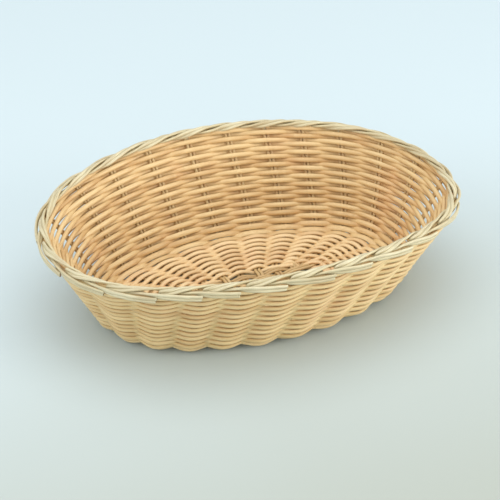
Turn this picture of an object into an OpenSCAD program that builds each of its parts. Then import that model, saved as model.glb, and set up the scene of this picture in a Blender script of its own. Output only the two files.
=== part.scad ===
// Oval woven fruit basket: twelve pairs of stakes cross in the floor and stand up as the
// twenty-four ribs of a flaring wall, rows of round cane run over and under them, and the
// stake tops are turned down into a rolled border.
// Millimetres, +Z up, long side along X, standing on Z = 0 about the middle of the basket.

/* [Basket] */
// Length over the border
basket_length = 230; // [190:1:290]
// Width over the border
basket_width = 170; // [140:1:185]
// Height from the table to the top of the border
basket_height = 56; // [44:1:80]
// How far the border stands out past the foot all round
flare_out = 30; // [16:1:36]
// Centres of the end curves, in half differences of length and width
end_pull = 1.3333; // [1.2:0.01:1.6]
// Radius of the turn from floor to wall, at the middle of the weave
corner_radius = 8; // [5:0.5:12]

/* [Cane] */
// Diameter of the cane woven round the stakes
weaver_d = 2.1; // [1.6:0.1:2.6]
// Diameter of one stake cane, two of which lie side by side
stake_d = 1.8; // [1.2:0.1:2.2]
// Gap between the two canes of a stake
pair_gap = 0.1; // [0.05:0.05:0.4]
// Room left between a stake and the rows on either side of it
stake_play = 0.15; // [0.1:0.05:0.5]
// Gap where the rows of the floor, the foot and the wall follow on each other
row_gap = 0.1; // [0.05:0.05:0.4]

/* [Stakes] */
// Half width of the eye in the floor that the weave starts from, at its ends
eye_radius = 3; // [2:0.5:6]
// Distance between crossing stakes in the eye
cross_pitch = 9.5; // [8:0.5:11]
// Gap between long stakes in the eye
long_gap = 0.5; // [0.2:0.1:2]
// How far a stake leans along the wall from foot to rim, in stake spacings
lean = 0.4; // [0:0.1:0.8]
// Uneven spacing of the stakes by hand, in stake spacings
drift = 0.25; // [0:0.05:0.3]

/* [Hidden] */
$fn = 96;
stakes = 24;
cross_stakes = 7;
long_stakes = 5;

// Every row follows the same oval, grown by a radius: two end curves about (+-end_x, 0)
// and two side curves about (0, -+side_y), which meet without a corner.
half_drop = (basket_length - basket_width) / 2;
end_x = half_drop * end_pull;
side_y = (end_x * end_x - pow(end_x - half_drop, 2)) / (2 * (end_x - half_drop));
side_more = norm([end_x, side_y]);
side_turn = atan2(end_x, side_y);
end_turn = 90 - side_turn;

// The weave is one stake thick with a row on each side of it.
weave_half = stake_d / 2 + weaver_d;
pair_offset = (stake_d + pair_gap) / 2;
long_pitch = 2 * stake_d + pair_gap + long_gap;

// Route of a border rod: how far round in stake spacings, how far out from the middle of the
// wall in half thicknesses of the weave, how far above the last row in stake canes, and which
// way its flat side faces (0 out, 90 up, 180 in)
border_route = [
    [0.00, 0.13, 1.17, 0],
    [0.22, 0.27, 1.89, 35],
    [0.50, -0.10, 2.72, 80],
    [0.80, -0.87, 2.56, 125],
    [1.05, -1.33, 1.78, 165],
    [1.25, -1.10, 1.11, 215],
    [1.45, -0.27, 0.67, 266],
    [1.65, 0.73, 0.83, 310],
    [1.90, 1.40, 1.11, 350],
    [2.25, 1.50, 0.67, 360],
    [2.55, 1.43, -0.67, 362],
    [2.85, 1.40, -1.44, 362]
];
rod_sides = 8;
border_rise = (max([for (stop = border_route) stop[2]]) + 0.67) * stake_d;
border_reach = max([for (stop = border_route) stop[1]]) * weave_half + stake_d / 2;
wall_top = basket_height - border_rise;
foot_r = basket_length / 2 - flare_out - weave_half - end_x;
top_r = basket_length / 2 - border_reach - end_x;
flare = atan2(top_r - foot_r, wall_top - weave_half);
corner_turn = 90 - flare;
corner_run = corner_radius * tan(corner_turn / 2);
floor_r = foot_r - corner_run;
corner_z = weave_half + corner_radius;
wall_start = [
    floor_r + corner_radius * sin(corner_turn),
    corner_z - corner_radius * cos(corner_turn)
];
wall_end = [top_r, wall_top];
eye_end = weaver_d + pair_offset;
corner_steps = 3;
wall_steps = 3;
cane_sides = 8;

function unit(v) = v / norm(v);

// Length of the oval of radius r, from the +X end to the first joint and so on round
function end_arc(r) = r * end_turn * PI / 180;
function side_arc(r) = (r + side_more) * side_turn * PI / 180;
function oval_length(r) = 4 * (end_arc(r) + side_arc(r));

// Direction in which the oval faces at a share of the way round the foot, from +X
function facing(share) =
    let (
        s = (share - floor(share)) * oval_length(foot_r),
        e = end_arc(foot_r),
        d = side_arc(foot_r),
        end_rate = end_turn / e,
        side_rate = side_turn / d
    )
    s < e ? s * end_rate
    : s < e + 2 * d ? end_turn + (s - e) * side_rate
    : s < 3 * e + 2 * d ? 180 - end_turn + (s - e - 2 * d) * end_rate
    : s < 3 * e + 4 * d ? 180 + end_turn + (s - 3 * e - 2 * d) * side_rate
    : 360 - end_turn + (s - 3 * e - 4 * d) * end_rate;

// Centre of the curve that a facing belongs to, and how much larger its radius is
function on_end(angle) = abs(sin(angle)) <= sin(end_turn);
function curve_centre(angle) =
    on_end(angle) ? [sign(cos(angle)) * end_x, 0] : [0, -sign(sin(angle)) * side_y];
function oval_point(share, r) =
    let (angle = facing(share), big = on_end(angle) ? r : r + side_more)
    curve_centre(angle) + big * [cos(angle), sin(angle)];
function oval_tangent(share) =
    let (angle = facing(share))
    [-sin(angle), cos(angle), 0];

// Radius of the oval through a point
function oval_radius(point) =
    let (x = abs(point[0]), y = abs(point[1]))
    atan2(y, x - end_x) <= end_turn ? norm([x - end_x, y]) : norm([x, y + side_y]) - side_more;

// Place of stake k round the foot, as a share of the whole way
function stake_share(k) =
    (k + drift * (cos(2 * k * 360 / stakes + 46) + 0.7 * cos(k * 360 / stakes + 90))) / stakes;

// Corner between floor and wall, in equal steps: radius and height of the weave's middle
function corner_point(step) =
    let (angle = corner_turn * step / corner_steps)
    [floor_r + corner_radius * sin(angle), corner_z - corner_radius * cos(angle)];

// One stake from the eye outwards and up the wall. Points are [x, y, z], with the canes of
// the pair half way apart on either side. Long stakes cross over the others in the eye, and
// all of them settle to the middle of the weave just outside it.
function on_long(k) = k <= 2 || (k >= 10 && k <= 14);
function eye_point(k) =
    let (i = k <= 2 ? k : k <= 9 ? 6 - k : k <= 14 ? 12 - k : k - 18)
    on_long(k) ? [(k <= 2 ? 1 : -1) * (3 * cross_pitch + eye_end), i * long_pitch]
    : [i * cross_pitch, (k <= 9 ? 1 : -1) * (2 * long_pitch + eye_end)];
function eye_across(k) =
    on_long(k) ? [0, sign(eye_point(k)[0]), 0] : [-sign(eye_point(k)[1]), 0, 0];
function eye_height(k) = weave_half + (on_long(k) ? 1 : -1) * pair_offset;
function lift(point, z) = [point[0], point[1], z];
function stake_route(k) =
    let (
        share = stake_share(k),
        start = eye_point(k),
        floor_end = oval_point(share, floor_r),
        settled = start + (on_long(k) ? 2 : 1) * eye_end * unit(floor_end - start)
    )
    concat(
        [lift(start, eye_height(k)), lift(settled, weave_half)],
        [for (step = [0 : corner_steps])
            lift(oval_point(share, corner_point(step)[0]), corner_point(step)[1])],
        [for (step = [1 : wall_steps])
            let (up = step / wall_steps, place = wall_start + (wall_end - wall_start) * up)
            lift(oval_point(share + lean * up / stakes, place[0]), place[1])]
    );
function stake_across(k) =
    let (share = stake_share(k))
    concat(
        [eye_across(k), unit(eye_across(k) + oval_tangent(share))],
        [for (step = [0 : corner_steps]) oval_tangent(share)],
        [for (step = [1 : wall_steps]) oval_tangent(share + lean * step / wall_steps / stakes)]
    );
function reversed(list) = [for (i = [len(list) - 1 : -1 : 0]) list[i]];

// Closed tube through rings of points, all with the same number of sides
module tube(rings) {
    sides = len(rings[0]);
    count = len(rings);
    polyhedron(
        points = [for (ring = rings) each ring],
        faces = concat(
            [[for (i = [0 : sides - 1]) i]],
            [for (j = [0 : count - 2], i = [0 : sides - 1])
                let (next = (i + 1) % sides)
                each [
                    [j * sides + i, (j + 1) * sides + i, (j + 1) * sides + next],
                    [j * sides + i, (j + 1) * sides + next, j * sides + next]
                ]],
            [[for (i = [sides - 1 : -1 : 0]) (count - 1) * sides + i]]
        )
    );
}

// Ring of one cane of a pair at point i of the pair's route, square to the way it runs there
function cane_ring(points, across, i, side) =
    let (
        before = points[max(i - 1, 0)],
        after = points[min(i + 1, len(points) - 1)],
        way = unit(after - before),
        level = unit(across[i] - (across[i] * way) * way),
        up = cross(way, level),
        middle = points[i] + side * pair_offset * level
    )
    [for (corner = [0 : cane_sides - 1])
        let (turn = corner * 360 / cane_sides)
        middle + stake_d / 2 * (cos(turn) * level + sin(turn) * up)];

// Two canes side by side, from rim to rim through the eye
module through_stake(a, b) {
    points = concat(reversed(stake_route(a)), stake_route(b));
    across = concat(-reversed(stake_across(a)), stake_across(b));
    for (side = [-1, 1])
        tube([for (i = [0 : len(points) - 1]) cane_ring(points, across, i, side)]);
}

// Section in [radius, height], carried round the whole oval
module round_oval() {
    for (side = [0, 180]) {
        rotate(side) translate([end_x, 0]) rotate(-end_turn)
            rotate_extrude(angle = 2 * end_turn) children();
        rotate(side) translate([0, -side_y]) rotate(90 - side_turn)
            rotate_extrude(angle = 2 * side_turn) translate([side_more, 0]) children();
    }
}

// A skin of the weave: the stretches of cane that pass inside the stakes (side -1) or
// outside them (side 1), from one edge of the stakes to the face of the weave.
function near(side) = side * (stake_d / 2 + stake_play);
function far(side) = side * weave_half;

// Floor: the flat rows round the eye. The first rows ride over the crossing of the stakes.
module floor_rows(side) {
    crossing = side * (pair_offset + stake_d / 2 + stake_play);
    crossing_r = oval_radius([3 * cross_pitch + pair_offset, 2 * long_pitch + eye_end]);
    color("burlywood") round_oval()
        translate([0, weave_half])
        mirror([0, 1])
        polygon([
            [eye_radius, far(side)],
            [eye_radius, crossing],
            [crossing_r, crossing],
            [crossing_r + eye_end, near(side)],
            [floor_r - row_gap, near(side)],
            [floor_r - row_gap, far(side)]
        ]);
}

// Foot: the rows that turn from floor to wall
module foot_rows(side) {
    reach = 2 * (corner_radius + weave_half);
    color("burlywood") round_oval()
        translate([floor_r, corner_z])
        intersection() {
            difference() {
                circle(r = corner_radius + max(near(side), far(side)));
                circle(r = corner_radius + min(near(side), far(side)));
            }
            polygon([
                [0, 0],
                [0, -reach],
                [reach, -reach],
                [reach * sin(corner_turn), -reach * cos(corner_turn)]
            ]);
        }
}

// Wall: the rows from the foot up to the border. Inside, they stop level under the rods.
module wall_rows(side) {
    slope = unit(wall_end - wall_start);
    out = [slope[1], -slope[0]];
    low = wall_start + slope * row_gap;
    function top(offset) = wall_end + offset * out + min(0, offset * tan(flare)) * slope;
    color("tan") round_oval()
        polygon([
            low + near(side) * out,
            low + far(side) * out,
            top(far(side)),
            top(near(side))
        ]);
}

module cross_stake(i) {
    color("wheat") through_stake(2 + i, 22 - i);
}

module long_stake(i) {
    color("wheat") through_stake(i - 3, 15 - i);
}

// Ring of points round the rod at one point of its route
function rod_ring(k, stop) =
    let (
        share = stake_share(k + stop[0]) + lean / stakes,
        out = facing(share),
        tall = stake_d + pair_gap / 2
    )
    [for (i = [0 : rod_sides - 1])
        let (
            turn = i * 360 / rod_sides,
            across = tall * sin(turn),
            thick = stake_d / 2 * cos(turn),
            n = stop[1] * weave_half + thick * cos(stop[3]) - across * sin(stop[3]),
            z = stop[2] * stake_d + thick * sin(stop[3]) + across * cos(stop[3])
        )
        lift(oval_point(share, top_r + n), wall_top + z)];

// Border rod: the turned-down top of one stake, its two canes lying flat together
module border_rod(k) {
    color("ivory") tube([for (stop = border_route) rod_ring(k, stop)]);
}

floor_rows(-1);  // floor_rows_upper
floor_rows(1);  // floor_rows_lower
foot_rows(-1);  // foot_rows_inside
foot_rows(1);  // foot_rows_outside
wall_rows(-1);  // wall_rows_inside
wall_rows(1);  // wall_rows_outside
for (i = [1 : cross_stakes])
    cross_stake(i);
for (i = [1 : long_stakes])
    long_stake(i);
for (i = [1 : stakes])
    border_rod(i);
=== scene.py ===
import math
import random
from typing import NamedTuple

import bpy
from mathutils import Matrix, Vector, noise


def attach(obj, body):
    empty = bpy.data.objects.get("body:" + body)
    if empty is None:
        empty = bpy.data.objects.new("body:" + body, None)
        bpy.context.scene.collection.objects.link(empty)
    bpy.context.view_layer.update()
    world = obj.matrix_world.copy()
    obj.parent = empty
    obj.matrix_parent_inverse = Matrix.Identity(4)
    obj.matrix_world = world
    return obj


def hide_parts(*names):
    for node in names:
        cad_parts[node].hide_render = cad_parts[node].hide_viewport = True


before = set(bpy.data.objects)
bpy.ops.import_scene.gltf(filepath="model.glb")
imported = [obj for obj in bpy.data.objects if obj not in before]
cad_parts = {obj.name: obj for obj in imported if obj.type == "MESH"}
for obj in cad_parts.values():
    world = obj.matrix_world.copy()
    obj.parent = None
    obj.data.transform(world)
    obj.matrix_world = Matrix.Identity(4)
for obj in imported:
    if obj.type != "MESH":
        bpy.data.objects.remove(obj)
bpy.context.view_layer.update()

MM = 0.001
FULL_TURN = 2 * math.pi
UP = Vector((0, 0, 1))

# ---------------------------------------------------------------- sizes of the basket
# Lengths are in millimetres until a mesh is made. They repeat the part's own sizes, unless
# a comment says otherwise.
LENGTH = 230.0
WIDTH = 170.0
FLARE_OUT = 30.0
CORNER_R = 8.0

# How far the part's plait reaches out from the middle of its wall
BORDER_REACH = 5.4

STAKES = 24
WEAVER_R = 1.05
CANE_R = 0.9
PAIR_GAP = 0.1
PAIR_OFFSET = CANE_R + PAIR_GAP / 2
HALF_WEAVE = CANE_R + 2 * WEAVER_R

# The eye is where the long and cross stakes pass each other. CROSS_REACH and LONG_REACH
# count the stakes on each side of the middle one.
CROSS_STAKES = 7
LONG_STAKES = 5
CROSS_REACH = CROSS_STAKES // 2
LONG_REACH = LONG_STAKES // 2
CROSS_PITCH = 9.5
LONG_GAP = 0.5
LONG_PITCH = 4 * CANE_R + PAIR_GAP + LONG_GAP
EYE_END = 2 * WEAVER_R + PAIR_OFFSET
EYE_HALF_LENGTH = CROSS_REACH * CROSS_PITCH + EYE_END
EYE_HALF_WIDTH = LONG_REACH * LONG_PITCH + EYE_END

# How far stakes lean round by the rim and how unevenly they stand, in stake spacings
LEAN = 0.4
DRIFT = 0.25

# Every row of cane follows one oval, grown by a radius: two end curves about
# (+-END_X, 0) and two side curves about (0, -+SIDE_Y).
HALF_DROP = (LENGTH - WIDTH) / 2
END_X = 40.0
SIDE_Y = (END_X**2 - (END_X - HALF_DROP) ** 2) / (2 * (END_X - HALF_DROP))
SIDE_MORE = math.hypot(END_X, SIDE_Y)
SIDE_TURN = math.atan2(END_X, SIDE_Y)
END_TURN = math.pi / 2 - SIDE_TURN

FOOT_R = LENGTH / 2 - FLARE_OUT - HALF_WEAVE - END_X
RIM_R = LENGTH / 2 - BORDER_REACH - END_X
END_ARC = FOOT_R * END_TURN
SIDE_ARC = (FOOT_R + SIDE_MORE) * SIDE_TURN
FOOT_ROUND = 4 * (END_ARC + SIDE_ARC)

# The wall is 1.8 higher than the part's, because the plait on it is lower.
WALL_TOP = 51.7
FLARE = math.atan2(RIM_R - FOOT_R, WALL_TOP - HALF_WEAVE)
CORNER_TURN = math.pi / 2 - FLARE
CORNER_LENGTH = CORNER_R * CORNER_TURN
FLOOR_R = FOOT_R - CORNER_R * math.tan(CORNER_TURN / 2)
WALL_START = Vector(
    (
        FLOOR_R + CORNER_R * math.sin(CORNER_TURN),
        HALF_WEAVE + CORNER_R * (1 - math.cos(CORNER_TURN)),
    )
)
WALL_END = Vector((RIM_R, WALL_TOP))
WALL_LENGTH = (WALL_END - WALL_START).length
WALL_SLOPE = (WALL_END - WALL_START).normalized()
SECTION_LENGTH = FLOOR_R + CORNER_LENGTH + WALL_LENGTH

# Rows are pressed on to the stakes, closer than round canes could lie, and every cane is
# FLAT times as thick across the weave as a round one.
STAKE_TO_ROW = 1.56
FLAT = 0.86

# The rim rises by SADDLE at the long sides and dips by it at the two ends. All is let down
# by SINK, which sets the flattened floor on the table.
SADDLE = 2.8
SADDLE_POWER = 1.5
SINK = 0.28

# The weave swells out at each stake. It begins before the foot, is full after SWELL_GROWS
# and fades again towards the rim.
SWELL = 0.32
SWELL_BEFORE_FOOT = 4.0
SWELL_GROWS = 10.0
SWELL_AT_RIM = 0.35
SWELL_FADES = 40.0


def unit_part(value):
    """The value kept between 0 and 1."""
    return min(1.0, max(0.0, value))


def sway(x, y, z):
    """Smooth chance between about -1 and 1. Its three numbers set how quickly it changes
    and keep one cane unlike the next."""
    return noise.noise(Vector((x, y, z)))


# ---------------------------------------------------------------- places round the oval
def facing(share):
    """Direction in which the oval faces at a share of the way round the foot."""
    way = (share % 1.0) * FOOT_ROUND
    if way < END_ARC:
        return way / FOOT_R
    way -= END_ARC
    if way < 2 * SIDE_ARC:
        return END_TURN + way / (FOOT_R + SIDE_MORE)
    way -= 2 * SIDE_ARC
    if way < 2 * END_ARC:
        return math.pi - END_TURN + way / FOOT_R
    way -= 2 * END_ARC
    if way < 2 * SIDE_ARC:
        return math.pi + END_TURN + way / (FOOT_R + SIDE_MORE)
    return FULL_TURN - END_TURN + (way - 2 * SIDE_ARC) / FOOT_R


def share_of_facing(angle):
    """Share of the way round the foot where the oval faces in a direction."""
    angle %= FULL_TURN
    if angle < END_TURN:
        way = angle * FOOT_R
    elif angle < math.pi - END_TURN:
        way = END_ARC + (angle - END_TURN) * (FOOT_R + SIDE_MORE)
    elif angle < math.pi + END_TURN:
        way = END_ARC + 2 * SIDE_ARC + (angle - math.pi + END_TURN) * FOOT_R
    elif angle < FULL_TURN - END_TURN:
        way = 3 * END_ARC + 2 * SIDE_ARC + (angle - math.pi - END_TURN) * (FOOT_R + SIDE_MORE)
    else:
        way = 3 * END_ARC + 4 * SIDE_ARC + (angle - FULL_TURN + END_TURN) * FOOT_R
    return way / FOOT_ROUND


def oval_point(share, radius):
    """Point on the oval of a radius, at a share of the way round."""
    angle = facing(share)
    out = Vector((math.cos(angle), math.sin(angle)))
    if abs(math.sin(angle)) <= math.sin(END_TURN):
        return Vector((math.copysign(END_X, out.x), 0)) + radius * out
    return Vector((0, -math.copysign(SIDE_Y, out.y))) + (radius + SIDE_MORE) * out


def outwards(share):
    """Level way out of the basket at a share of the way round."""
    angle = facing(share)
    return Vector((math.cos(angle), math.sin(angle), 0))


def round_direction(share):
    """Level way along the oval at a share of the way round."""
    angle = facing(share)
    return Vector((-math.sin(angle), math.cos(angle), 0))


def oval_radius(point):
    """Radius of the oval that a point lies on."""
    x, y = abs(point.x), abs(point.y)
    if math.atan2(y, x - END_X) <= END_TURN:
        return math.hypot(x - END_X, y)
    return math.hypot(x, y + SIDE_Y) - SIDE_MORE


def share_of_point(point):
    """Share of the way round where a point lies."""
    x, y = abs(point.x), abs(point.y)
    if math.atan2(y, x - END_X) <= END_TURN:
        angle = math.atan2(point.y, math.copysign(x - END_X, point.x))
    else:
        angle = math.atan2(math.copysign(y + SIDE_Y, point.y), point.x)
    return share_of_facing(angle)


# ---------------------------------------------------------------- places up the wall
# A way is a distance along the middle of the weave, from the eye over the floor, round the
# foot and up the wall.
def section(way):
    """Radius, height and outward normal of the middle of the weave."""
    if way <= FLOOR_R:
        return way, HALF_WEAVE, Vector((0, -1))
    if way <= FLOOR_R + CORNER_LENGTH:
        turn = (way - FLOOR_R) / CORNER_R
        normal = Vector((math.sin(turn), -math.cos(turn)))
        return FLOOR_R + CORNER_R * normal.x, HALF_WEAVE + CORNER_R * (1 + normal.y), normal
    place = WALL_START + WALL_SLOPE * (way - FLOOR_R - CORNER_LENGTH)
    return place.x, place.y, Vector((WALL_SLOPE.y, -WALL_SLOPE.x))


def swell(way):
    """How far the weave swells out at a stake."""
    begun = unit_part((way - FLOOR_R + SWELL_BEFORE_FOOT) / SWELL_GROWS)
    left = min(1.0, SWELL_AT_RIM + (SECTION_LENGTH - way) / SWELL_FADES)
    return SWELL * begun * left


def saddled(point):
    """The point let down on to the table and moved with the bent rim."""
    climb = max(0.0, (point.z - HALF_WEAVE) / (WALL_TOP - HALF_WEAVE)) ** SADDLE_POWER
    fall = 2 * (point.x / (END_X + RIM_R)) ** 2 - 1
    return point - UP * (SINK + SADDLE * climb * fall)


# ---------------------------------------------------------------- canes as meshes
CANE_SIDES = 10
SMOOTH_UNDER = math.radians(50)


class Ring(NamedTuple):
    """One cross-section of a cane. out is the way towards the outside of the basket, width
    is how wide the cane is across that way, and depth is how far out of the middle of the
    weave it lies, -1 to 1."""

    centre: Vector
    out: Vector
    radius: float
    tone: float
    width: float = 1.0
    depth: float = 0.0


class Canes:
    """Gathers canes and makes one mesh piece of them. The UV map says how far along and
    round its cane a point is, and three attributes give the cane's tone, how far the point
    faces out of the basket and how far it stands proud of the weave."""

    def __init__(self):
        self.points = []
        self.faces = []
        self.uvs = []
        self.tone = []
        self.outside = []
        self.proud = []

    def add(self, rings, closed=False):
        """Sweeps a cane through its rings. A closed one runs into its own start."""
        first = len(self.points)
        count = len(rings)
        path = [saddled(ring.centre) for ring in rings]
        for i, (centre, ring) in enumerate(zip(path, rings)):
            before = path[i - 1] if i or closed else centre
            after = path[(i + 1) % count] if i < count - 1 or closed else centre
            self.add_ring(ring, centre, (after - before).normalized())
        along = [0.0]
        for a, b in zip(path, path[1:] + path[:1]):
            along.append(along[-1] + (b - a).length * MM)
        for i in range(count if closed else count - 1):
            self.add_sides(first + i * CANE_SIDES, first + (i + 1) % count * CANE_SIDES, along[i : i + 2])
        if not closed:
            self.add_end(range(first, first + CANE_SIDES), 0.0)
            last = first + (count - 1) * CANE_SIDES
            self.add_end(range(last, last + CANE_SIDES)[::-1], along[count - 1])

    def add_ring(self, ring, centre, way):
        level = (ring.out - way * ring.out.dot(way)).normalized()
        across = way.cross(level)
        for j in range(CANE_SIDES):
            turn = FULL_TURN * j / CANE_SIDES
            offset = level * (FLAT * math.cos(turn)) + across * (ring.width * math.sin(turn))
            self.points.append((centre + offset * ring.radius) * MM)
            self.tone.append(ring.tone)
            self.outside.append(0.5 + 0.5 * math.cos(turn))
            self.proud.append(0.5 + 0.5 * math.cos(turn) * ring.depth)

    def add_sides(self, this_ring, next_ring, along):
        for j in range(CANE_SIDES):
            k = (j + 1) % CANE_SIDES
            self.faces.append((this_ring + j, next_ring + j, next_ring + k, this_ring + k))
            low, high = j / CANE_SIDES, (j + 1) / CANE_SIDES
            self.uvs += [(along[0], low), (along[1], low), (along[1], high), (along[0], high)]

    def add_end(self, corners, along):
        self.faces.append(tuple(corners))
        self.uvs += [(along, 0.5)] * CANE_SIDES

    def finish(self, name, material):
        """The gathered canes as one piece, with normals outwards."""
        mesh = bpy.data.meshes.new(name)
        mesh.from_pydata(self.points, [], self.faces)
        layer = mesh.uv_layers.new(name="cane")
        layer.data.foreach_set("uv", [n for uv in self.uvs for n in uv])
        for label in ("tone", "outside", "proud"):
            attribute = mesh.attributes.new(label, "FLOAT", "POINT")
            attribute.data.foreach_set("value", getattr(self, label))
        mesh.materials.append(material)
        piece = bpy.data.objects.new(name, mesh)
        bpy.context.scene.collection.objects.link(piece)
        bpy.ops.object.select_all(action="DESELECT")
        piece.select_set(True)
        bpy.context.view_layer.objects.active = piece
        bpy.ops.object.mode_set(mode="EDIT")
        bpy.ops.mesh.select_all(action="SELECT")
        bpy.ops.mesh.normals_make_consistent(inside=False)
        bpy.ops.object.mode_set(mode="OBJECT")
        bpy.ops.object.shade_smooth_by_angle(angle=SMOOTH_UNDER)
        return piece


# ---------------------------------------------------------------- materials
class Value:
    """One output of a node. Arithmetic on it adds the Math nodes."""

    def __init__(self, graph, socket):
        self.graph = graph
        self.socket = socket

    def math(self, operation, *others):
        return self.graph.make("ShaderNodeMath", {"operation": operation}, dict(enumerate((self, *others))))

    def __add__(self, other):
        return self.math("ADD", other)

    __radd__ = __add__

    def __mul__(self, other):
        return self.math("MULTIPLY", other)

    __rmul__ = __mul__

    def between(self, low, high):
        """0 at low, 1 at high and smooth between them."""
        sockets = {"Value": self, "From Min": low, "From Max": high}
        return self.graph.make("ShaderNodeMapRange", {"interpolation_type": "SMOOTHSTEP"}, sockets)


class Graph:
    """The nodes of one material."""

    def __init__(self, name):
        self.material = bpy.data.materials.new(name)
        self.material.use_nodes = True
        self.nodes = self.material.node_tree.nodes
        self.links = self.material.node_tree.links
        self.shader = self.nodes["Principled BSDF"]

    def make(self, kind, settings=None, sockets=None, output=0):
        """Adds a node, sets it, fills its sockets and gives one of its outputs."""
        node = self.nodes.new(kind)
        for key, value in (settings or {}).items():
            setattr(node, key, value)
        for key, value in (sockets or {}).items():
            self.plug(node.inputs[key], value)
        return Value(self, node.outputs[output])

    def plug(self, socket, value):
        if isinstance(value, Value):
            self.links.new(value.socket, socket)
        else:
            socket.default_value = value

    def mix(self, share, first, second):
        """The first colour with a share of the second in it. Sockets 6 and 7 take colours."""
        sockets = {0: share, 6: first, 7: second}
        return self.make("ShaderNodeMix", {"data_type": "RGBA"}, sockets, output=2)

    def vector(self, *parts):
        return self.make("ShaderNodeCombineXYZ", None, dict(enumerate(parts)))

    def part(self, vector, index):
        """One of the three numbers of a vector."""
        return self.make("ShaderNodeSeparateXYZ", None, {0: vector}, output=index)

    def attribute(self, name):
        """A number that the mesh holds at each point."""
        return self.make("ShaderNodeAttribute", {"attribute_name": name}, output=2)

    def place(self):
        """Where a point is on its object."""
        return self.make("ShaderNodeTexCoord", output=3)

    def noise(self, vector, scale, detail=2.0, rough=0.5):
        sockets = {"Vector": vector, "Scale": scale, "Detail": detail, "Roughness": rough}
        return self.make("ShaderNodeTexNoise", None, sockets)

    def finish(self, constants, **inputs):
        """Plugs the shader's changing inputs, sets its constant ones, gives the material."""
        for key, value in inputs.items():
            self.plug(self.shader.inputs[key.replace("_", " ")], value)
        for key, value in constants.items():
            self.shader.inputs[key].default_value = value
        return self.material


def srgb(red, green, blue):
    """A colour of 0 to 255, as the linear one that a shader takes."""

    def linear(c):
        c /= 255
        return c / 12.92 if c <= 0.04045 else ((c + 0.055) / 1.055) ** 2.4

    return (linear(red), linear(green), linear(blue), 1.0)


SPECK_BROWN = srgb(112, 68, 34)
CUT_BROWN = srgb(120, 72, 44)


def cane_material(name, inner, outer, dark, pale_and_painted_highlight, rosy_and_painted_shade, stripe, speckle):
    """Satin natural cane: fibres run along each cane, tones change from cane to cane. The tops of rows that
    stand proud are painted lighter as a painted highlight, and the parts that dip into the weave are
    painted rosier as painted shade. A tone under 0 is a cut end."""
    g = Graph(name)
    uv = g.make("ShaderNodeUVMap", {"uv_map": "cane"})
    along = g.part(uv, 0)
    around = g.part(uv, 1) * FULL_TURN
    across = around.math("COSINE")
    upright = around.math("SINE")
    tone = g.attribute("tone")
    outside = g.attribute("outside")
    proud = g.attribute("proud")
    place = g.place()

    fibre_at = g.vector(along * 70 + tone * 31, across * 2.2 + tone * 17, upright * 2.2)
    fibre = g.noise(fibre_at, 1.6, 3.0, 0.6)
    band = g.noise(g.vector(along * 22 + tone * 53, across * 0.3, tone * 9), 1.0)
    blotch = g.noise(place, 38.0)
    speck = g.noise(fibre_at, 3.4, 1.0).between(0.70, 0.80) * g.noise(place, 210.0).between(0.52, 0.66)

    colour = g.mix(outside, inner, outer)
    for share, other in (
        (tone.between(0.55, 0.0) * 0.40, dark),
        (tone.between(0.5, 1.0) * 0.45, pale_and_painted_highlight),
        (band.between(0.45, 0.75) * 0.30, pale_and_painted_highlight),
        (blotch.between(0.5, 0.72) * 0.35, rosy_and_painted_shade),
        # Painted highlight: the top of a row, where it stands proud of the weave, is painted lighter.
        (proud.between(0.55, 1.0) * 0.35, pale_and_painted_highlight),
        # Painted shade: where a row dips into the weave, behind a stake, it is painted rosier and darker.
        (proud.between(0.45, 0.0) * 0.12, rosy_and_painted_shade),
        (fibre.between(0.42, 0.7) * stripe, dark),
        (speck * speckle, SPECK_BROWN),
        (tone.between(0.0, -0.8), CUT_BROWN),
    ):
        colour = g.mix(share, colour, other)
    relief = {"Height": fibre + band * 0.4, "Strength": 0.35, "Distance": 0.00012}
    return g.finish(
        {"Specular IOR Level": 0.45, "Coat Weight": 0.2, "Coat Roughness": 0.3},
        Base_Color=colour,
        Roughness=0.40 + fibre * 0.22,
        Normal=g.make("ShaderNodeBump", None, relief),
    )


row_cane = cane_material(
    "woven_cane",
    inner=srgb(212, 176, 122),
    outer=srgb(220, 194, 138),
    dark=srgb(182, 136, 80),
    pale_and_painted_highlight=srgb(236, 210, 158),
    rosy_and_painted_shade=srgb(208, 156, 108),
    stripe=0.30,
    speckle=0.55,
)
floor_cane = cane_material(
    "floor_cane",
    inner=srgb(234, 201, 148),
    outer=srgb(226, 194, 140),
    dark=srgb(190, 144, 92),
    pale_and_painted_highlight=srgb(242, 216, 170),
    rosy_and_painted_shade=srgb(220, 168, 124),
    stripe=0.28,
    speckle=0.5,
)
stake_cane = cane_material(
    "stake_cane",
    inner=srgb(204, 172, 120),
    outer=srgb(210, 180, 124),
    dark=srgb(166, 124, 76),
    pale_and_painted_highlight=srgb(226, 200, 148),
    rosy_and_painted_shade=srgb(190, 146, 98),
    stripe=0.4,
    speckle=0.5,
)
border_cane = cane_material(
    "border_cane",
    inner=srgb(212, 197, 154),
    outer=srgb(210, 200, 164),
    dark=srgb(150, 126, 84),
    pale_and_painted_highlight=srgb(240, 234, 204),
    rosy_and_painted_shade=srgb(196, 170, 132),
    stripe=0.65,
    speckle=0.4,
)

# ---------------------------------------------------------------- where the stakes run
# Stake ends are numbered round the foot. -2 to 2 and 10 to 14 are ends of long stakes, at
# +X and -X, and 3 to 9 and 15 to 21 are ends of cross stakes, at +Y and -Y.
STAKE_ENDS = range(-2, 22)
ON_LONG = set(range(-2, 3)) | set(range(10, 15))

# Halvings of a stake's length that find where a row meets it
HALVINGS = 30


def stake_share(k):
    """Share of the way round where stake k meets the foot. The spacing is uneven."""
    wander = math.cos(math.radians(30 * k + 46)) + 0.7 * math.cos(math.radians(15 * k + 90))
    return (k + DRIFT * wander) / STAKES


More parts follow.
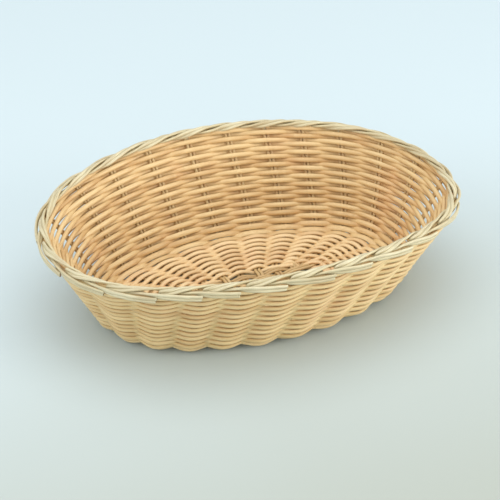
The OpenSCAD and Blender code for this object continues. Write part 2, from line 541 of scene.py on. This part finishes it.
def leant_share(k, way):
    """The same further up the wall, where the stakes lean round."""
    up = max(0.0, (way - FLOOR_R - CORNER_LENGTH) / WALL_LENGTH)
    return stake_share(k) + LEAN * up / STAKES


def eye_height(i, j, long_one):
    """Height of a stake in the eye, where cross stake i and long stake j pass over and
    under each other. i and j count from the middle and may lie between two stakes."""
    i = max(-CROSS_REACH, min(CROSS_REACH, i))
    j = max(-LONG_REACH, min(LONG_REACH, j))
    over = math.cos(math.pi * (i + j))
    return HALF_WEAVE + PAIR_OFFSET * (over if long_one else -over)


def eye_start(k):
    """Where a stake leaves the eye of the floor, and its height there."""
    if k <= 2:
        return Vector((EYE_HALF_LENGTH, k * LONG_PITCH)), eye_height(CROSS_REACH, k, True)
    if 10 <= k <= 14:
        j = 12 - k
        return Vector((-EYE_HALF_LENGTH, j * LONG_PITCH)), eye_height(CROSS_REACH, j, True)
    i = 6 - k if k <= 9 else k - 18
    y = EYE_HALF_WIDTH if k <= 9 else -EYE_HALF_WIDTH
    return Vector((i * CROSS_PITCH, y)), eye_height(i, LONG_REACH, False)


def spoke(k):
    """The straight run of a stake over the floor: its start, its end, its height at the
    start and the length over which it settles to the middle of the weave."""
    start, height = eye_start(k)
    end = oval_point(stake_share(k), FLOOR_R)
    return start, end, height, (2 if k in ON_LONG else 1) * EYE_END


def floor_crossing(k, way):
    """Share round the oval and lift of a stake where a row of the floor meets it."""
    start, end, height, settle = spoke(k)
    back = Vector((start.x * 0.5, start.y)) if k in ON_LONG else Vector((start.x, 0.0))
    low, high = -(start - back).length, (end - start).length
    on_floor = (end - start).normalized()
    in_eye = (start - back).normalized()

    def at(distance):
        return start + distance * (on_floor if distance > 0 else in_eye)

    for _ in range(HALVINGS):
        middle = (low + high) / 2
        if oval_radius(at(middle)) < way:
            low = middle
        else:
            high = middle
    lift = (height - HALF_WEAVE) * unit_part(1 - low / settle)
    share = share_of_point(at(low))
    if k < 0 or (k == 0 and share > 0.5):
        share -= 1.0
    return share, lift


def crossings(way):
    """Share round the oval and lift of each stake where a row of cane meets it."""
    if way >= FLOOR_R:
        return [(leant_share(k, way), 0.0) for k in STAKE_ENDS]
    return [floor_crossing(k, way) for k in STAKE_ENDS]


# ---------------------------------------------------------------- the rows of cane
ROWS = 44
FIRST_ROW = 3.6
ROW_PITCH = (SECTION_LENGTH - WEAVER_R - FIRST_ROW) / (ROWS - 1)
STEPS_TO_STAKE = 14

# Rows that start before these ways are in the floor piece and in the foot piece.
FOOT_BEGINS = FLOOR_R - 1.0
WALL_BEGINS = FLOOR_R + CORNER_LENGTH

# Between stakes FULL_GAP apart or more a row swings over in full, and under STILL_GAP not
# at all.
FULL_GAP = 8.75
STILL_GAP = 1.75

# Rows are looser at the two ends of the oval, in full from LOOSE_AFTER past the floor.
LOOSE_AFTER = 20.0
WANDER = 0.10
LOOSE_WANDER = 0.22
DEPTH_WANDER = 0.10
THICKNESS_WANDER = 0.09
TONE_WANDER = 0.5

# Widths in radii: a row is wider than it is thick, more so on a stake and round the foot.
ROW_WIDTH = 1.22
WIDER_ON_STAKE = 0.07
WIDER_AT_FOOT = 0.26
FOOT_SPREAD = 9.0
NARROWER_IF_LOOSE = 0.10


def row_of_cane(row, row_tone):
    """Rings of one row, which passes the stakes outside and inside by turns."""
    base_way = FIRST_ROW + row * ROW_PITCH
    stakes = crossings(base_way)
    stakes.append((stakes[0][0] + 1, stakes[0][1]))
    spots = [oval_point(share, section(base_way)[0]) for share, _ in stakes]
    gaps = [(b - a).length for a, b in zip(spots, spots[1:])]
    room = [unit_part((gap - STILL_GAP) / (FULL_GAP - STILL_GAP)) for gap in gaps]
    reach = [min(room[k - 1], room[k % STAKES]) for k in range(STAKES + 1)]
    foot = math.exp(-(((base_way - FLOOR_R - CORNER_LENGTH / 2) / FOOT_SPREAD) ** 2))
    rings = []
    for k in range(STAKES):
        (this_share, this_lift), (next_share, next_lift) = stakes[k], stakes[k + 1]
        side = 1 if (row + k) % 2 else -1
        for step in range(STEPS_TO_STAKE):
            part = step / STEPS_TO_STAKE
            wave = math.cos(math.pi * part)
            this_part, next_part = (1 + wave) / 2, (1 - wave) / 2
            share = this_share + (next_share - this_share) * part
            loose = math.cos(facing(share)) ** 4 * unit_part((base_way - FLOOR_R) / LOOSE_AFTER)

            wander = (WANDER + LOOSE_WANDER * loose) * sway(share * 61 + row * 7.7, row * 3.1, 1.7)
            radius, height, normal = section(base_way + wander)
            depth = side * STAKE_TO_ROW * (reach[k] * this_part - reach[k + 1] * next_part)
            depth += DEPTH_WANDER * sway(share * 43, row * 5.3, 9.2)
            depth += swell(base_way) * math.cos(FULL_TURN * part)
            flat = oval_point(share, radius + depth * normal.x)
            z = height + depth * normal.y + this_lift * this_part + next_lift * next_part

            thickness = 1.0 + THICKNESS_WANDER * sway(share * 29 + row, row * 2.9, 4.4)
            width = ROW_WIDTH + WIDER_ON_STAKE * abs(wave) ** 1.5 + WIDER_AT_FOOT * foot
            rings.append(
                Ring(
                    centre=Vector((flat.x, flat.y, max(z, SINK + WEAVER_R))),
                    out=outwards(share) * normal.x + UP * normal.y,
                    radius=WEAVER_R * thickness,
                    tone=unit_part(row_tone + TONE_WANDER * sway(share * 5.0, row * 11.3, 6.1)),
                    width=width - NARROWER_IF_LOOSE * loose,
                    depth=side * wave,
                )
            )
    return rings


random.seed(24)
row_tones = [random.random() for _ in range(ROWS)]
floor_weave, foot_weave, wall_weave = Canes(), Canes(), Canes()
for row, row_tone in enumerate(row_tones):
    row_way = FIRST_ROW + row * ROW_PITCH
    weave = wall_weave
    if row_way < FOOT_BEGINS:
        weave = floor_weave
    elif row_way < WALL_BEGINS:
        weave = foot_weave
    weave.add(row_of_cane(row, row_tone), closed=True)

woven_floor = floor_weave.finish("woven_floor", floor_cane)
woven_foot = foot_weave.finish("woven_foot", row_cane)
woven_wall = wall_weave.finish("woven_wall", row_cane)
for piece, nodes in (
    (woven_floor, ("floor_rows_upper", "floor_rows_lower")),
    (woven_foot, ("foot_rows_inside", "foot_rows_outside")),
    (woven_wall, ("wall_rows_inside", "wall_rows_outside")),
):
    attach(piece, "root")
    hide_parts(*nodes)

# ---------------------------------------------------------------- the stakes
SPOKE_STEPS = 8
CORNER_STEPS = 8
WALL_STEPS = 16
EYE_STEPS = 42
STOP_UNDER_RIM = 0.4
STAKE_THICKNESS = 0.92
STAKE_THICKNESS_WANDER = 0.05
STAKE_WANDER = 0.08


def half_stake(k):
    """Middle line of a pair from the eye to the rim, with the way across the pair and out."""
    start, end, height, settle = spoke(k)
    length = (end - start).length
    heading = (end - start).normalized()
    if k in ON_LONG:
        eye_across = Vector((0, math.copysign(1, start.x), 0))
    else:
        eye_across = Vector((-math.copysign(1, start.y), 0, 0))
    line = [(Vector((start.x, start.y, height)), eye_across, -UP)]

    floor_ways = [settle * 0.35, settle * 0.7]
    floor_ways += [settle + (length - settle) * i / SPOKE_STEPS for i in range(SPOKE_STEPS)]
    for distance in floor_ways:
        flat = start + heading * distance
        lift = (height - HALF_WEAVE) * (1 + math.cos(math.pi * min(1.0, distance / settle))) / 2
        turned = min(1.0, distance / (2 * settle))
        across = eye_across.lerp(round_direction(stake_share(k)), turned).normalized()
        line.append((Vector((flat.x, flat.y, HALF_WEAVE + lift)), across, -UP))

    climb = WALL_LENGTH - STOP_UNDER_RIM
    ways = [CORNER_LENGTH * i / CORNER_STEPS for i in range(CORNER_STEPS + 1)]
    ways += [CORNER_LENGTH + climb * i / WALL_STEPS for i in range(1, WALL_STEPS + 1)]
    for way in (FLOOR_R + further for further in ways):
        radius, z, normal = section(way)
        share = leant_share(k, way)
        flat = oval_point(share, radius + swell(way) * normal.x)
        out = outwards(share) * normal.x + UP * normal.y
        line.append((Vector((flat.x, flat.y, z + swell(way) * normal.y)), round_direction(share), out))
    return line


def whole_stake(a, b):
    """Middle line of a pair from the rim at end a, through the eye, to the rim at end b."""
    first, second = half_stake(a), half_stake(b)
    near, far = first[0][0], second[0][0]
    middle = []
    for i in range(1, EYE_STEPS):
        point = near.lerp(far, i / EYE_STEPS)
        point.z = eye_height(point.x / CROSS_PITCH, point.y / LONG_PITCH, a in ON_LONG)
        middle.append((point, second[0][1], second[0][2]))
    return [(point, -across, out) for point, across, out in reversed(first)] + middle + second


def stake_pair(name, node, a, b):
    """Two canes side by side, from the rim at end a to the rim at end b."""
    line = whole_stake(a, b)
    points = [point for point, _, _ in line]
    pair = Canes()
    for side in (-1, 1):
        tone = random.random()
        rings = []
        for i, (point, across, out) in enumerate(line):
            way = (points[min(i + 1, len(points) - 1)] - points[max(i - 1, 0)]).normalized()
            level = (across - way * across.dot(way)).normalized()
            offset = side * PAIR_OFFSET + STAKE_WANDER * sway(i * 0.21, a * 3.7, side * 2.0)
            thickness = STAKE_THICKNESS + STAKE_THICKNESS_WANDER * sway(i * 0.3, a * 1.9, side * 5.0)
            rings.append(Ring(point + level * offset, out, CANE_R * thickness, tone))
        pair.add(rings)
    piece = pair.finish(name, stake_cane)
    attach(piece, "root")
    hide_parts(node)


for i in range(1, CROSS_STAKES + 1):
    stake_pair(f"cross_pair_{i}", f"cross_stake_{i}", 2 + i, 22 - i)
for i in range(1, LONG_STAKES + 1):
    stake_pair(f"long_pair_{i}", f"long_stake_{i}", i - 3, 15 - i)

# ---------------------------------------------------------------- the plaited border
# How far round in stake spacings, how far out in half thicknesses of the weave, how far
# above the last row in stake canes, and which way the flat side faces (0 out, 90 up). The
# middle two are then drawn in by TIGHT.
BORDER_ROUTE = [
    (-0.02, -0.30, -0.85, 0),
    (0.00, 0.13, 0.80, 0),
    (0.24, 0.28, 1.40, 40),
    (0.50, -0.02, 1.90, 82),
    (0.76, -0.55, 1.75, 112),
    (1.02, -0.80, 1.28, 150),
    (1.26, -0.68, 0.82, 215),
    (1.50, -0.28, 0.62, 262),
    (1.74, 0.38, 0.62, 305),
    (2.00, 1.05, 0.50, 345),
    (2.28, 1.34, 0.10, 354),
    (2.56, 1.22, -0.60, 352),
    (2.84, 1.06, -1.10, 350),
]
ROUTE_STEPS = 6
TIGHT = 0.80
ROD_R = 0.80
ROD_OFFSET = 0.84
ROD_WIDTH = 1.12
ROD_THICKNESS_WANDER = 0.06
ROD_OUT_WANDER = 0.18
ROD_UP_WANDER = 0.15
ROD_TONE = 0.55

# The tail is the last stretch of a rod, in stake spacings. Tails differ in length and, in
# millimetres, in droop, and the two canes of a rod end STAGGER before and after each other.
TAIL_START = 2.2
TAIL_LENGTH = 0.65
TAIL_WANDER = 0.22
DROOP_WANDER = 0.6
STAGGER = 0.012

# Rings that round off a cut end: how much further, how thick and of what tone
CUT_END = ((0.30, 0.90, 0.9), (0.26, 0.66, 0.1), (0.10, 0.34, -1.0))


def smooth_step(before, start, end, after, t):
    """Point of a Catmull-Rom curve between start and end, at a share t."""
    linear = (end - before) * t
    square = (2 * before - 5 * start + 4 * end - after) * t * t
    cubic = (3 * start - before - 3 * end + after) * t**3
    return 0.5 * (2 * start + linear + square + cubic)


def smooth_route(stops, steps):
    """The stops joined by a smooth curve, with a number of steps from stop to stop."""
    smooth = []
    last = len(stops) - 1
    for i in range(last):
        four = [stops[max(0, min(last, n))] for n in (i - 1, i, i + 1, i + 2)]
        for step in range(steps + (i == last - 1)):
            smooth.append([smooth_step(*numbers, step / steps) for numbers in zip(*four)])
    return smooth


def border_pair(k):
    """The turned-down top of stake k: two canes that lie flat together."""
    rod = Canes()
    longer = TAIL_WANDER * sway(k * 4.1, 2.2, 0.5)
    droop = DROOP_WANDER * sway(k * 2.7, 6.2, 1.5)
    for side in (-1, 1):
        tone = unit_part(ROD_TONE + TONE_WANDER * sway(k * 1.7, side * 0.4, 3.3))
        rings = []
        for i, (round_way, out_way, up_way, face) in enumerate(smooth_route(BORDER_ROUTE, ROUTE_STEPS)):
            tail = max(0.0, round_way - TAIL_START) / TAIL_LENGTH
            stretch = (longer + STAGGER * side) * tail
            share = stake_share(k + round_way + stretch) + LEAN / STAKES
            turn = math.radians(face)
            out = TIGHT * out_way * HALF_WEAVE - side * ROD_OFFSET * math.sin(turn)
            out += ROD_OUT_WANDER * sway(i * 0.13, k * 3.9, 7.0)
            up = TIGHT * up_way * 2 * CANE_R + side * ROD_OFFSET * math.cos(turn) + droop * tail
            up += ROD_UP_WANDER * sway(i * 0.11, k * 5.3, 2.0)
            flat = oval_point(share, RIM_R + out)
            thickness = 1.0 + ROD_THICKNESS_WANDER * sway(i * 0.2, k * 2.3, side * 3.0)
            rings.append(
                Ring(
                    centre=Vector((flat.x, flat.y, WALL_TOP + up)),
                    out=outwards(share) * math.cos(turn) + UP * math.sin(turn),
                    radius=ROD_R * thickness,
                    tone=tone,
                    width=ROD_WIDTH,
                )
            )
        heading = (rings[-1].centre - rings[-2].centre).normalized()
        for further, thickness, end_tone in CUT_END:
            centre = rings[-1].centre + heading * further
            rings.append(rings[-1]._replace(centre=centre, radius=ROD_R * thickness, tone=end_tone))
        rod.add(rings)
    piece = rod.finish(f"plaited_rod_{k}", border_cane)
    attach(piece, "root")
    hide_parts(f"border_rod_{k}")


for k in range(1, STAKES + 1):
    border_pair(k)


# ---------------------------------------------------------------- floor, light and camera
def paper_material():
    """Pale matt paper with painted shade: greyer and darker towards the front, lighter and bluer towards
    the back.
    """
    g = Graph("pale_paper")
    place = g.place()
    # Painted shade: the paper is painted darker and greyer towards the front of the table.
    shade = (g.part(place, 1) + g.noise(place, 4.0) * 0.06).between(-0.24, 0.16)
    return g.finish(
        {"Specular IOR Level": 0.2},
        Base_Color=g.mix(shade, srgb(176, 182, 172), srgb(204, 219, 224)),
        Roughness=0.75 + g.noise(place, 900.0) * 0.1,
    )


bpy.ops.object.select_all(action="DESELECT")
bpy.ops.mesh.primitive_plane_add(size=8.0, location=(0, 0, 0))
ground = bpy.context.object
ground.name = "floor"
ground.data.materials.append(paper_material())

LIGHTS_AIM = Vector((0, 0, 0.02))
CAMERA_AIM = Vector((0, 0, 0.027))


def place_aimed(thing, place, aim):
    """Puts a light or camera in the scene and turns it to a point."""
    bpy.context.scene.collection.objects.link(thing)
    thing.location = place
    thing.rotation_euler = (aim - Vector(place)).to_track_quat("-Z", "Y").to_euler()


def soft_light(name, place, size, power, colour):
    """A round soft box. Its place and size are in metres and its power in watts."""
    light = bpy.data.lights.new(name, "AREA")
    light.shape = "DISK"
    light.size = size
    light.energy = power
    light.color = colour
    place_aimed(bpy.data.objects.new(name, light), place, LIGHTS_AIM)


soft_light("overhead_box", (0.0, -0.05, 1.3), 1.6, 8.0, (1.0, 0.99, 0.97))
soft_light("right_box", (1.25, -0.9, 0.24), 1.0, 18.0, (1.0, 0.99, 0.96))
soft_light("front_box", (-0.4, -1.35, 0.5), 1.3, 2.5, (1.0, 0.99, 0.96))
soft_light("left_box", (-1.2, -0.3, 0.8), 1.1, 5.0, (1.0, 0.99, 0.97))

sky = bpy.data.worlds.new("pale_room")
sky.use_nodes = True
sky.node_tree.nodes["Background"].inputs["Color"].default_value = (0.93, 0.96, 0.98, 1.0)
sky.node_tree.nodes["Background"].inputs["Strength"].default_value = 0.78
bpy.context.scene.world = sky
bpy.context.scene.view_settings.view_transform = "Standard"

camera = bpy.data.cameras.new("camera")
camera.lens = 158.6
camera.sensor_width = 36.0
camera.shift_x = -0.0009
camera.shift_y = -0.0064
camera.clip_end = 20.0
eye = bpy.data.objects.new("camera", camera)
place_aimed(eye, (-0.4215, -0.8893, 0.6129), CAMERA_AIM)
bpy.context.scene.camera = eye
